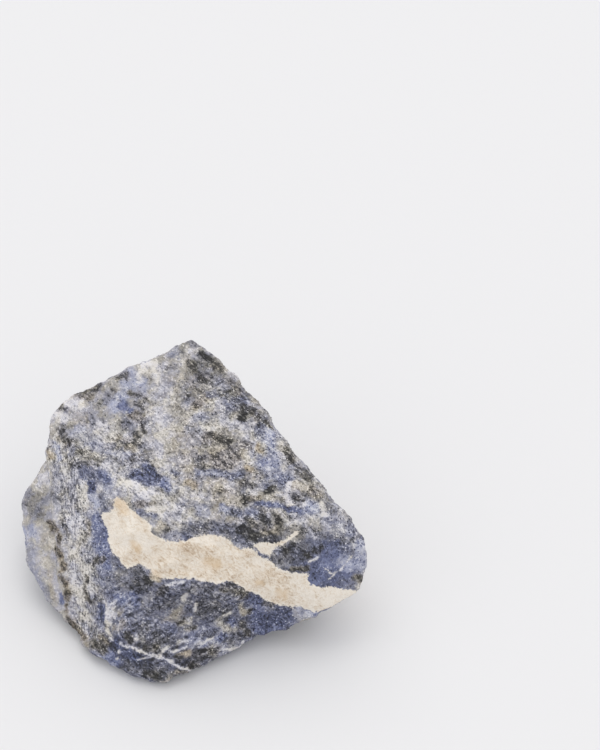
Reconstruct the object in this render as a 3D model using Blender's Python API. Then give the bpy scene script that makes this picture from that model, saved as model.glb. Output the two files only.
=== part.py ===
"""A rough sodalite stone: one broken lump that rests on a small flat spot.

The lump is modelled as it broke. Each bulk of it is the convex hull of the corners where its fracture faces
meet. The bulks are joined, ledges and shell-shaped scars are broken out of them, and the fracture faces are
roughened. Blender units are metres, +Z is up, and the origin is under the middle of the stone, on the
surface it rests on. -Y is the side that a pale vein runs across.
"""

import bmesh
import bpy
from mathutils import Matrix, Vector

MM = 0.001

# Driving dimensions, in millimetres
LENGTH = 83.0  # along X, from the nose of the lobe to the right tip
DEPTH = 72.0  # along Y, from the toe to the back belly
HEIGHT = 47.5  # up to the apex
FACET = 1.1  # side of a facet before the flat stretches are thinned out
FACETS_KEPT = 0.27  # share of the facets that is left after that

# Roughness of the fracture faces, from the slow rise and fall of a face, over its short steps and ridges, to
# the coarsest grains: the kind of noise, how wide and how deep it is in millimetres, and the value of the
# noise that leaves the face where it was
ROUGHNESS = {
    "swell": ("CLOUDS", 16.0, 0.9, 0.5),
    "hackle": ("MUSGRAVE", 6.0, 0.45, 1.0),
    "grain": ("VORONOI", 2.6, 0.55, 0.6),
}

# Corners of the main bulk, in millimetres. The top slopes down from the apex to the brow, the vein crosses
# the face between the brow and the vein foot, and the front falls from there to the toe and the hem.
MAIN_BULK = {
    "apex": (0.3, 29.7, 47.8),
    "back rim right": (-10, 24.5, 44.2),
    "apex left": (-4, 27.5, 46.3),
    "apex right": (6, 28, 46),
    "right rim high": (8, 23, 45),
    "right rim": (14, 14.5, 42.5),
    "right rim bend": (18.3, 10, 40.5),
    "right rim low": (25.5, -2, 34.5),
    "right rim end": (32, -6, 31),
    "right wall high": (23.5, 7.5, 36),
    "right wall": (29, 0, 31),
    "right shoulder": (38, -7.5, 25.5),
    "right tip high": (41.5, -10.5, 21.5),
    "right tip": (41.8, -12.5, 18.5),
    "right tip low": (41.3, -15.5, 15),
    "right chin": (41, -18.5, 12.8),
    "vein end": (38, -19, 11.5),
    "vein end low": (34.5, -19, 9.5),
    "right hem": (31, -20, 7),
    "right hem low": (22.5, -22.5, 4.5),
    "front hem": (13, -26.2, 2.8),
    "toe right": (5, -32, 1.5),
    "toe tip": (-5.5, -36.5, 1.2),
    "toe tip left": (-9, -36, 1.2),
    "toe left": (-13.5, -33, 1.5),
    "toe edge right": (-1, -32.5, 6),
    "toe edge": (-7, -33, 8.5),
    "toe edge left": (-14.5, -29.5, 7),
    "left hem": (-19.5, -30, 2),
    "seam foot": (-29, -23, 2.5),
    "seam low": (-29, -12, 9),
    "seam": (-31, -2, 18),
    "seam high": (-33.5, 6, 26),
    "left edge": (-34, 11, 31),
    "left shoulder": (-32.5, 16, 36),
    "shoulder top": (-29.5, 19.5, 38.5),
    "back rim left": (-24, 21, 40.5),
    "back rim": (-18, 23, 42.5),
    "ridge high": (-24, 3.5, 32.5),
    "ridge": (-20.5, -9, 23.5),
    "ridge low": (-18, -22, 11),
    "brow left": (-13.5, -9, 29.5),
    "brow": (-1, -12, 28.5),
    "brow right": (14, -13.5, 28),
    "brow far right": (28, -11, 27.5),
    "vein foot left": (-13, -18, 21),
    "vein foot": (9.5, -22, 18.5),
    "vein foot right": (24, -22.5, 14),
    "back left foot": (-31, 27, 4),
    "back left belly": (-26, 33, 20),
    "back foot": (-7, 35, 5),
    "back belly": (3, 36, 19),
    "back shoulder": (-12, 33.5, 36),
    "back right foot": (19, 25, 3),
    "right wall belly": (27, 12, 15),
    "right wall foot": (22, 2, 4),
}

# Corners of the lower lobe that stands out behind the left end
LOBE = {
    "crown": (-36, 12, 21),
    "top": (-38.5, 10, 18.5),
    "step": (-39.3, 8, 17),
    "nose": (-43.2, 6, 14.5),
    "cheek": (-43, 0.5, 11),
    "jaw": (-38.8, -5, 7.5),
    "chin": (-34.8, -10, 5.5),
    "foot": (-32.5, -15.5, 3),
    "foot right": (-28, -21.5, 2.5),
    "front": (-33, -2, 13),
    "back top": (-32, 22, 23),
    "back": (-36, 21, 12),
    "back foot": (-33, 24, 3),
    "inner foot": (-16, 0, 1.5),
    "inner top": (-20, 12, 26),
    "inner back": (-20, 26, 20),
}

# A flake that stands out of the front, like a thin lens
FLAKE = {
    "low end": (-11, -28.5, 9.5),
    "high end": (1, -24.5, 15.5),
    "upper": (-6.5, -25.5, 14),
    "lower": (-2.5, -28, 11),
    "crest low": (-8.5, -28.7, 11),
    "crest high": (-2, -26.3, 14.3),
    "root": (-4, -20, 10),
}

# The flat spot that the stone rests on, as corners in plan, and how far the hull reaches below it
REST_SPOT = [(-12, -17), (-3, -20), (7, -15), (8, -3), (3, 7), (-8, 9), (-15, 3), (-16, -9)]
REST_BELOW = 0.6

# Ledges: where each step starts and ends, which way the face looks, which way the step falls away, and how
# deep and how wide it is
LEDGES = [
    ((-16, -19.5, 19.5), (31, -23, 11), (0, -0.85, 0.5), (0, -0.5, -0.85), 0.7, 7),
    ((0, -31, 5), (12, -23.5, 14), (0, -0.85, 0.5), (0.5, -0.5, -0.7), 0.7, 6),
    ((-13, -28, 8), (-4, -22, 17), (0, -0.85, 0.5), (-0.7, -0.3, 0.6), 0.5, 4),
    ((10, -12.5, 28.3), (33, -11.5, 27), (0, -0.6, 0.8), (0, -0.8, -0.6), 1.3, 7),
    ((20, 6, 39.5), (33, -7.5, 30.5), (0.6, 0, 0.8), (0.8, 0.3, -0.5), 0.8, 5),
    ((-22, 26, 42), (-3, 30, 46), (-0.2, 0.8, 0.6), (0, 0.6, -0.8), 1.3, 8),
    ((-18, 35, 12), (12, 33, 22), (0, 1, 0.1), (0.3, 0, 1), 1.6, 12),
    ((24, 14, 8), (33, 2, 22), (0.9, 0.4, -0.2), (-0.5, 0.8, 0.3), 1.4, 9),
]

# Scars: where each shell-shaped chip left the stone, which way it looks, and how wide and how deep it is
SCARS = [
    ((-31, 17, 36.5), (-0.4, -0.4, 1), 4, 0.7),
    ((4, 22, 43.5), (0, -0.3, 1), 7, 0.7),
    ((12, 18, 42.5), (0.2, -0.3, 1), 7, 0.7),
    ((15, -3, 34.5), (0, -0.4, 1), 12, 0.8),
    ((6, 7, 39), (0, -0.4, 1), 13, 0.8),
    ((-21, 10, 37.5), (-0.2, -0.4, 1), 9, 0.8),
    ((-10, 12, 40.5), (0, -0.4, 1), 12, 0.8),
    ((-6, -4, 33), (0, -0.4, 1), 9, 0.6),
    ((33, -14.5, 21.5), (0.3, -0.8, 0.6), 16, 1.0),
    ((22, -15, 24), (0, -0.8, 0.6), 11, 0.9),
    ((24, 8, 36), (0.8, 0.3, 0.3), 6, 0.8),
    ((31, 1, 30), (0.8, 0.4, 0.3), 7, 0.8),
    ((-38.5, 9, 18), (-0.8, 0, 0.5), 5, 0.7),
    ((-38, 1, 13), (-0.8, -0.3, 0.4), 10, 0.7),
    ((9, -28.7, 3.5), (0.5, -1, 0.1), 10, 1.0),
    ((18, -23, 9), (0.2, -1, 0.3), 13, 0.6),
    ((-9, -34, 5), (0, -1, 0.3), 8, 0.7),
    ((-22, -20, 9), (-0.6, -0.6, 0.5), 12, 0.8),
    ((-35, 22, 18), (-0.8, 0.6, 0.2), 13, 1.8),
    ((-20, 33, 28), (-0.3, 1, 0.3), 18, 2.2),
    ((6, 34, 34), (0.4, 0.9, 0.3), 17, 2.0),
    ((16, 26, 20), (0.8, 0.6, 0), 20, 2.4),
    ((-4, 36, 8), (0, 0.9, -0.4), 14, 1.8),
    ((28, 7, 13), (0.9, 0.3, -0.2), 26, 2.0),
    ((35, -9, 12), (0.6, 0.5, -0.6), 18, 1.6),
    ((20, -12, 1.5), (0.3, -0.3, -1), 18, 1.4),
    ((-3, -25, 0.3), (0, -0.1, -1), 10, 0.7),
    ((-28, 0, 1), (-0.3, 0, -1), 14, 1.5),
]


def clear_scene():
    for obj in list(bpy.data.objects):
        bpy.data.objects.remove(obj, do_unlink=True)


def mesh_object(name, bm):
    mesh = bpy.data.meshes.new(name)
    bm.to_mesh(mesh)
    bm.free()
    obj = bpy.data.objects.new(name, mesh)
    bpy.context.scene.collection.objects.link(obj)
    return obj


def hull(name, corners):
    """A closed convex lump around the corners, which are in millimetres."""
    bm = bmesh.new()
    for corner in corners:
        bm.verts.new(Vector(corner) * MM)
    bmesh.ops.convex_hull(bm, input=bm.verts)
    inside = [v for v in bm.verts if not v.link_faces]
    bmesh.ops.delete(bm, geom=inside, context="VERTS")
    bmesh.ops.recalc_face_normals(bm, faces=bm.faces)
    return mesh_object(name, bm)


def ledge_cutter(name, start, end, outward, falling, deep, wide):
    """The wedge that breaks away to leave a step along the line from start to end."""
    start = Vector(start)
    end = Vector(end)
    outward = Vector(outward).normalized()
    falling = Vector(falling).normalized()
    above = outward * wide
    corners = []
    for point in (start, end):
        corners.append(point - outward * deep)
        corners.append(point + above)
        corners.append(point + falling * wide)
        corners.append(point + falling * wide + above)
    return hull(name, corners)


def scar_cutter(name, place, outward, wide, deep):
    """The ball that bites a shallow dish of the given width and depth out of a face."""
    radius = ((wide / 2) ** 2 + deep ** 2) / (2 * deep)
    middle = Vector(place) + Vector(outward).normalized() * (radius - deep)
    bm = bmesh.new()
    bmesh.ops.create_icosphere(bm, subdivisions=3, radius=radius * MM, matrix=Matrix.Translation(middle * MM))
    return mesh_object(name, bm)


def boolean(stone, others, operation):
    """Joins or cuts the stone with helper lumps, which move and stretch with it."""
    group = bpy.data.collections.new(f"{operation.lower()} {others[0].name}")
    for other in others:
        other.hide_render = True
        other.display_type = "WIRE"
        other.parent = stone
        group.objects.link(other)
    modifier = stone.modifiers.new(group.name, "BOOLEAN")
    modifier.operation = operation
    modifier.operand_type = "COLLECTION"
    modifier.collection = group
    modifier.solver = "EXACT"


def roughen(stone, name, kind, across, depth, level):
    """Pushes the surface in and out by a noise, as the table of roughness says."""
    texture = bpy.data.textures.new(name, kind)
    texture.noise_scale = across * MM
    modifier = stone.modifiers.new(name, "DISPLACE")
    modifier.texture = texture
    modifier.texture_coords = "LOCAL"
    modifier.direction = "NORMAL"
    modifier.strength = depth * MM
    modifier.mid_level = level


def stone_material():
    material = bpy.data.materials.new("sodalite")
    material.use_nodes = True
    shader = material.node_tree.nodes["Principled BSDF"]
    shader.inputs["Base Color"].default_value = (0.31, 0.30, 0.33, 1)
    shader.inputs["Roughness"].default_value = 0.6
    shader.inputs["Metallic"].default_value = 0.0
    return material


def ground_cutter():
    """A block under the stone, whose top is the surface that it rests on."""
    sides = (-LENGTH, LENGTH)
    return hull("ground_cutter", [(x, y, z) for x in sides for y in sides for z in (-HEIGHT, 0)])


def fit_to_size(stone):
    """Gives the roughened stone its driving dimensions, with its middle over the origin."""
    bpy.context.view_layer.update()
    box = stone.evaluated_get(bpy.context.evaluated_depsgraph_get()).bound_box
    for axis, size in enumerate((LENGTH, DEPTH, HEIGHT)):
        low = min(corner[axis] for corner in box)
        high = max(corner[axis] for corner in box)
        stone.scale[axis] = size * MM / (high - low)
        stone.location[axis] = -stone.scale[axis] * (low + high) / 2
    stone.location.z = 0  # the flat spot is already at the height of the origin


def rough_sodalite():
    rest = [(x, y, -REST_BELOW) for x, y in REST_SPOT]
    stone = hull("rough_sodalite", list(MAIN_BULK.values()) + rest)
    boolean(stone, [hull("lobe", LOBE.values()), hull("flake", FLAKE.values())], "UNION")
    boolean(stone, [ledge_cutter("ledge", *ledge) for ledge in LEDGES], "DIFFERENCE")
    boolean(stone, [scar_cutter("scar", *scar) for scar in SCARS], "DIFFERENCE")

    facets = stone.modifiers.new("facets", "REMESH")
    facets.mode = "VOXEL"
    facets.voxel_size = FACET * MM
    for name, noise in ROUGHNESS.items():
        roughen(stone, name, *noise)
    thin = stone.modifiers.new("thin out flat stretches", "DECIMATE")
    thin.ratio = FACETS_KEPT
    boolean(stone, [ground_cutter()], "DIFFERENCE")
    fit_to_size(stone)
    stone.data.materials.append(stone_material())


clear_scene()
rough_sodalite()
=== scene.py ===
import math

import bmesh
import bpy
import numpy as np
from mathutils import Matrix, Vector, noise


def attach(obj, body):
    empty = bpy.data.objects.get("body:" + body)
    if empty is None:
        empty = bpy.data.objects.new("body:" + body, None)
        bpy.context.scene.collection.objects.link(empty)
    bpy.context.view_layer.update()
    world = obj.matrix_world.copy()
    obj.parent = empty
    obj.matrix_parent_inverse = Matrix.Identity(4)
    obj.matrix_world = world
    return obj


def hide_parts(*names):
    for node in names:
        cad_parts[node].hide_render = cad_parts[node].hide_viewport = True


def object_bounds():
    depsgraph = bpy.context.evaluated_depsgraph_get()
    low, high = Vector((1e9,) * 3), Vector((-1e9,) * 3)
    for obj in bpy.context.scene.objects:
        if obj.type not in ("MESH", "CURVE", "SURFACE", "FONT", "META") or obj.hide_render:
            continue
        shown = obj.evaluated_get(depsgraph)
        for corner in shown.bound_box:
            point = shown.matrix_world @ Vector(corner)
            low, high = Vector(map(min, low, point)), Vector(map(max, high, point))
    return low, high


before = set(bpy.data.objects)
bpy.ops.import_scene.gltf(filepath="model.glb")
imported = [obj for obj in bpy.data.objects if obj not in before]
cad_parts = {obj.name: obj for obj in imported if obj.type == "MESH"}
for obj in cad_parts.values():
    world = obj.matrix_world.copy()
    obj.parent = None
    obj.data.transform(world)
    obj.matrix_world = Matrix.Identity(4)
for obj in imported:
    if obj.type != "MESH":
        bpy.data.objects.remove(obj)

cad_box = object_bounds()


# The camera, where the photograph was taken from: about 42 cm off, looking 43 degrees down on the
# stone with a long lens, so that near and far corners keep almost the same size.
EYE_MM = (26.0, -283.865, 329.215)
LOOK_DOWN = math.radians(43)
LENS_MM = 85.0
SENSOR_MM = 36.0
PHOTO_WIDTH = 600
PHOTO_HEIGHT = 750

lens = bpy.data.cameras.new("camera")
lens.lens = LENS_MM
lens.sensor_width = SENSOR_MM
lens.clip_start = 0.01
camera = bpy.data.objects.new("camera", lens)
camera.location = [v / 1000 for v in EYE_MM]
camera.rotation_euler = (math.radians(90) - LOOK_DOWN, 0, 0)
bpy.context.scene.collection.objects.link(camera)
bpy.context.scene.camera = camera


# The stone: one broken lump of sodalite rock, 83 mm long, just as it left the hammer. It is a mass of
# blue sodalite, grey feldspar and near-black grains about 1 mm wide, crossed by a cream feldspar vein.
SKIN_MM = 0.44

stone = bpy.data.objects.new("rough_sodalite_stone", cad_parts["rough_sodalite"].data.copy())
bpy.context.scene.collection.objects.link(stone)
skin = stone.modifiers.new("fine skin", "REMESH")
skin.mode = "VOXEL"
skin.voxel_size = SKIN_MM / 1000
ease = stone.modifiers.new("ease the facets", "SMOOTH")
ease.factor = 0.5
ease.iterations = 5
bpy.context.view_layer.update()
eased = stone.evaluated_get(bpy.context.evaluated_depsgraph_get())
stone_mesh = bpy.data.meshes.new_from_object(eased)
stone.modifiers.clear()
stone.data = stone_mesh
stone_mesh.name = "rough_sodalite_stone"
stone_mesh.materials.clear()

# The stone is one closed skin: what isn't joined to its top is a crumb of the remesh.
shell = bmesh.new()
shell.from_mesh(stone_mesh)
reached = {max(shell.verts, key=lambda spot: spot.co.z)}
waiting = list(reached)
while waiting:
    here = waiting.pop()
    for edge in here.link_edges:
        beside = edge.other_vert(here)
        if beside not in reached:
            reached.add(beside)
            waiting.append(beside)
bmesh.ops.delete(shell, geom=[spot for spot in shell.verts if spot not in reached], context="VERTS")
shell.to_mesh(stone_mesh)
shell.free()


def read_points(mesh):
    """The mesh's points and their outward directions, with the points in millimetres."""
    points = np.empty(len(mesh.vertices) * 3, dtype=np.float32)
    normals = np.empty_like(points)
    mesh.vertices.foreach_get("co", points)
    mesh.vertices.foreach_get("normal", normals)
    return points.reshape(-1, 3).astype(float) * 1000, normals.reshape(-1, 3).astype(float)


def write_points(mesh, points):
    mesh.vertices.foreach_set("co", (points / 1000).astype(np.float32).ravel())
    mesh.update()


def lumps(points, size, seed, stretch=(1.0, 1.0, 1.0)):
    """Smooth noise from about -1 to 1, with lumps of the given size in millimetres."""
    spots = points / (size * np.array(stretch)) + np.array((seed * 17.3, seed * 5.1, seed * 9.7))
    return np.array([noise.noise(Vector(spot)) for spot in spots]) * 1.6


def grains(points, size, seed):
    """How far each point is from the middle of its grain, from 0 in the middle to about 1 at the rim."""
    spots = points / size + np.array((seed * 3.7, seed * 11.9, seed * 7.3))
    return np.array([noise.voronoi(Vector(spot))[0][0] for spot in spots])


def smooth_step(low, high, values):
    t = np.clip((values - low) / (high - low), 0, 1)
    return t * t * (3 - 2 * t)


def as_seen(points):
    """Where the camera sees each point, in the photograph's pixels."""
    away = points - np.array(EYE_MM)
    forward = np.array((0, math.cos(LOOK_DOWN), -math.sin(LOOK_DOWN)))
    upward = np.array((0, math.sin(LOOK_DOWN), math.cos(LOOK_DOWN)))
    depth = away @ forward
    scale = LENS_MM / SENSOR_MM * PHOTO_HEIGHT / depth
    across = PHOTO_WIDTH / 2 + away[:, 0] * scale
    down = PHOTO_HEIGHT / 2 - (away @ upward) * scale
    return np.stack([across, down], axis=1)


def distance_to_line(spots, path):
    """How far each spot is from a line of straight runs, or from a single point, in pixels."""
    if len(path) == 1:
        return np.linalg.norm(spots - np.array(path[0]), axis=1)
    best = np.full(len(spots), np.inf)
    for start, end in zip(path, path[1:]):
        start = np.array(start, dtype=float)
        run = np.array(end, dtype=float) - start
        along = np.clip(((spots - start) @ run) / (run @ run), 0, 1)
        best = np.minimum(best, np.linalg.norm(spots - start - along[:, None] * run, axis=1))
    return best


def inside(spots, outline):
    """True for each spot within a closed outline."""
    odd = np.zeros(len(spots), dtype=bool)
    for (x0, y0), (x1, y1) in zip(outline, outline[1:] + outline[:1]):
        if y0 == y1:
            continue
        crosses = (y0 > spots[:, 1]) != (y1 > spots[:, 1])
        odd ^= crosses & (spots[:, 0] < x0 + (spots[:, 1] - y0) / (y1 - y0) * (x1 - x0))
    return odd


def depth_in(spots, outline):
    """How deep each spot lies within a closed outline, in pixels; less than zero outside it."""
    away = distance_to_line(spots, outline + outline[:1])
    return np.where(inside(spots, outline), away, -away)


# Where the photograph shows each point, and whether it does: 1 where the rock faces the camera, and 0
# where it turns away.
points, normals = read_points(stone_mesh)
seen = as_seen(points)
to_eye = np.array(EYE_MM) - points
to_eye /= np.linalg.norm(to_eye, axis=1)[:, None]
facing = smooth_step(-0.1, 0.2, np.sum(normals * to_eye, axis=1))

# The vein's outline as the photograph shows it, from its left end round to the tip at the right.
VEIN_TOP = [(101, 514), (112, 512), (113, 505), (116, 497), (122, 500), (128, 507), (135, 512), (143, 518),
            (150, 524), (151, 531), (156, 536), (165, 540), (175, 541), (185, 541), (193, 537), (200, 535),
            (215, 534), (225, 537), (232, 543), (240, 549), (248, 548), (256, 553), (263, 558), (271, 561),
            (277, 567), (285, 571), (293, 573), (304, 573), (308, 574), (307, 581), (310, 585), (320, 587),
            (332, 587), (340, 589), (352, 590), (362, 591)]
VEIN_UNDER = [(356, 598), (345, 603), (334, 609), (325, 615), (312, 611), (300, 606), (290, 606), (280, 605),
              (270, 602), (262, 598), (255, 594), (247, 591), (240, 586), (232, 582), (226, 581), (218, 584),
              (210, 583), (200, 580), (182, 578), (172, 579), (161, 579), (153, 574), (147, 567), (140, 564),
              (128, 569), (120, 560), (113, 554), (109, 545), (107, 535), (104, 522)]

ragged = np.stack([lumps(points, 2.0, seed=1) + 0.5 * lumps(points, 1.0, seed=2),
                   lumps(points, 2.0, seed=3) + 0.5 * lumps(points, 1.0, seed=4)], axis=1)
MM_PER_PIXEL = 0.23
vein_front = depth_in(seen + 0.8 * ragged, VEIN_TOP + VEIN_UNDER) * MM_PER_PIXEL

# A short branch of it, with a thin tail that runs up to the right.
BRANCH = [(253, 546), (258, 543), (262, 542), (270, 543), (276, 543), (280, 541), (285, 540), (290, 536),
          (294, 533), (298, 531), (299, 533), (293, 537), (288, 541), (284, 543), (278, 546), (274, 549),
          (272, 552), (270, 557), (267, 555), (262, 553), (259, 551), (257, 549)]
BRANCH_SWELL_MM = 0.03
branch = depth_in(seen + 0.5 * ragged, BRANCH) * MM_PER_PIXEL + BRANCH_SWELL_MM
vein_front = np.maximum(vein_front, branch)

# Behind the front the vein runs on through the stone as a tilted slab. From 12 mm left of the middle it
# thins out to the left, by 0.4 mm in each millimetre.
VEIN_HEART = np.array((10.0, -13.0, 19.5))
VEIN_ACROSS = np.array((0.25, 0.34, 0.91))
VEIN_HALF_MM = 3.2
VEIN_THINS_FROM = 12
VEIN_THINNING = 0.4
off_slab = (points - VEIN_HEART) @ (VEIN_ACROSS / np.linalg.norm(VEIN_ACROSS))
thinned = np.clip(-points[:, 0] - VEIN_THINS_FROM, 0, 30) * VEIN_THINNING
half_slab = VEIN_HALF_MM + 1.6 * lumps(points, 14, seed=5) - thinned
vein_behind = half_slab - np.abs(off_slab + 1.2 * lumps(points, 9, seed=6))
vein = vein_front * facing + np.clip(vein_behind, -6, 6) * (1 - facing)

# Relief, in millimetres: hammer dents, short ledges along the bedding, and grains that stand out of the
# broken face, while the whole skin sinks a little. The vein breaks finer. The blue facet at the right is
# a smooth cleavage, which sets in between two columns and two rows of the photograph's pixels.
DENT_DEPTH = 0.30
SMALL_DENT_DEPTH = 0.16
LEDGE_RISE = 0.30
GRAIN_RISE = 0.34
SMALL_GRAIN_RISE = 0.20
SINK = 0.05
BEDDING_AXES = np.array([(0.79, -0.57, -0.24), (0.46, 0.80, -0.39), (0.41, 0.20, 0.89)])
FACET_LEFT = (296, 320)
FACET_TOP = (528, 548)

on_vein = smooth_step(-0.3, 0.5, vein)
right_facet = smooth_step(*FACET_LEFT, seen[:, 0]) * smooth_step(*FACET_TOP, seen[:, 1]) * facing
bedding = points @ BEDDING_AXES.T
ledge_lumps = 0.9 * lumps(bedding, 5.0, 31, (2.0, 1.0, 1.0)) + 0.25 * lumps(points, 1.8, seed=32)
ledge_field = ledge_lumps / LEDGE_RISE
ledge_floor = np.floor(ledge_field)
ledges = (ledge_floor + smooth_step(0.30, 0.55, ledge_field - ledge_floor) - ledge_field) * LEDGE_RISE
ledges *= (1 - 0.6 * on_vein) * (1 - 0.7 * right_facet)
dents = DENT_DEPTH * lumps(points, 5.0, seed=7) + SMALL_DENT_DEPTH * lumps(points, 2.2, seed=8)
grit = (0.5 - grains(points, 1.6, seed=1)) * GRAIN_RISE
grit += (0.5 - grains(points, 0.95, seed=2)) * SMALL_GRAIN_RISE
grit *= (1 - 0.5 * on_vein) * (1 - 0.75 * right_facet)
on_rest = 1 - smooth_step(0.2, 0.9, points[:, 2])
move = (dents + grit + ledges) * (1 - on_rest) - SINK
shaped = points + normals * move[:, None]

# Two places stand a little further out than the plain lump: where, which way, how far and how wide.
BULGES = [
    ((39.0, -8.7, 23.0), (0.85, 0.25, 0.45), 1.0, 9.0),
    ((0.5, 30.0, 47.0), (0.0, 1.0, 0.0), 0.9, 7.0),
]
for spot, outward, far, wide in BULGES:
    off_spot = np.linalg.norm(points - np.array(spot), axis=1)
    shaped += (far * (1 - smooth_step(0.25, 1.0, off_spot / wide)))[:, None] * np.array(outward)
shaped = np.clip(shaped, np.array(cad_box[0]) * 1000, np.array(cad_box[1]) * 1000)
write_points(stone_mesh, shaped)

# What the rock is like at each point: how light it is, how much of it is dark and how much is pale, its
# blue, its rust, and how strongly its single grains show. It starts as the plain grey ground.
GROUND = {"tone": 0.60, "dark": 0.16, "pale": 0.20, "blue": 0.15, "ochre": 0.05, "grain": 1.0}
outer = {name: np.full(len(points), value) for name, value in GROUND.items()}

# The faces of the seen side, each with its values in that order, its half width in the photograph's pixels
# and its line. The tones of the left lobe, the toe and the right facet hold painted light and shade, as
# noted at each.
FACES = {
    "top": ((0.62, 0.16, 0.22, 0.06, 0.08, 1.15), 80, [(90, 430), (180, 420), (230, 460), (280, 500)]),
    "top, behind": ((0.60, 0.14, 0.18, 0.10, 0.09, 0.70), 26, [(90, 400), (170, 372), (215, 380)]),
    "top, right behind": ((0.54, 0.20, 0.16, 0.08, 0.12, 1.00), 20, [(185, 398), (232, 392)]),
    "top, right": ((0.56, 0.19, 0.20, 0.08, 0.12, 1.35), 36, [(218, 420), (238, 455), (262, 500)]),
    "left shoulder": ((0.72, 0.12, 0.22, 0.08, 0.10, 0.80), 18, [(70, 405), (58, 440)]),
    # Painted light: the left lobe's tone is set lighter for the light that falls on the stone's left side.
    "left lobe": ((0.72, 0.12, 0.18, 0.07, 0.06, 0.50), 26, [(35, 490), (35, 560), (55, 610)]),
    "left bevel": ((0.64, 0.14, 0.21, 0.16, 0.04, 1.40), 14, [(60, 450), (73, 500), (82, 560), (90, 625)]),
    "lower front": ((0.40, 0.20, 0.08, 0.55, 0.00, 1.00), 42,
                    [(130, 605), (190, 620), (260, 612), (305, 605)]),
    # The toe's dark tone is dark sodalite in part and painted shade in part, as the toe faces down towards
    # the floor.
    "toe": ((0.13, 0.32, 0.02, 0.50, 0.00, 1.00), 22, [(115, 658), (160, 676), (190, 666)]),
    # The right facet's low tone is its blue sodalite in part and painted shade in part, as the facet turns
    # away from the light.
    "right facet": ((0.36, 0.14, 0.06, 0.90, 0.00, 0.65), 25, [(325, 548), (335, 575), (312, 570)]),
    "right edge": ((0.54, 0.18, 0.22, 0.24, 0.04, 1.40), 14,
                   [(262, 425), (290, 462), (320, 500), (350, 540)]),
}
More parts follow.
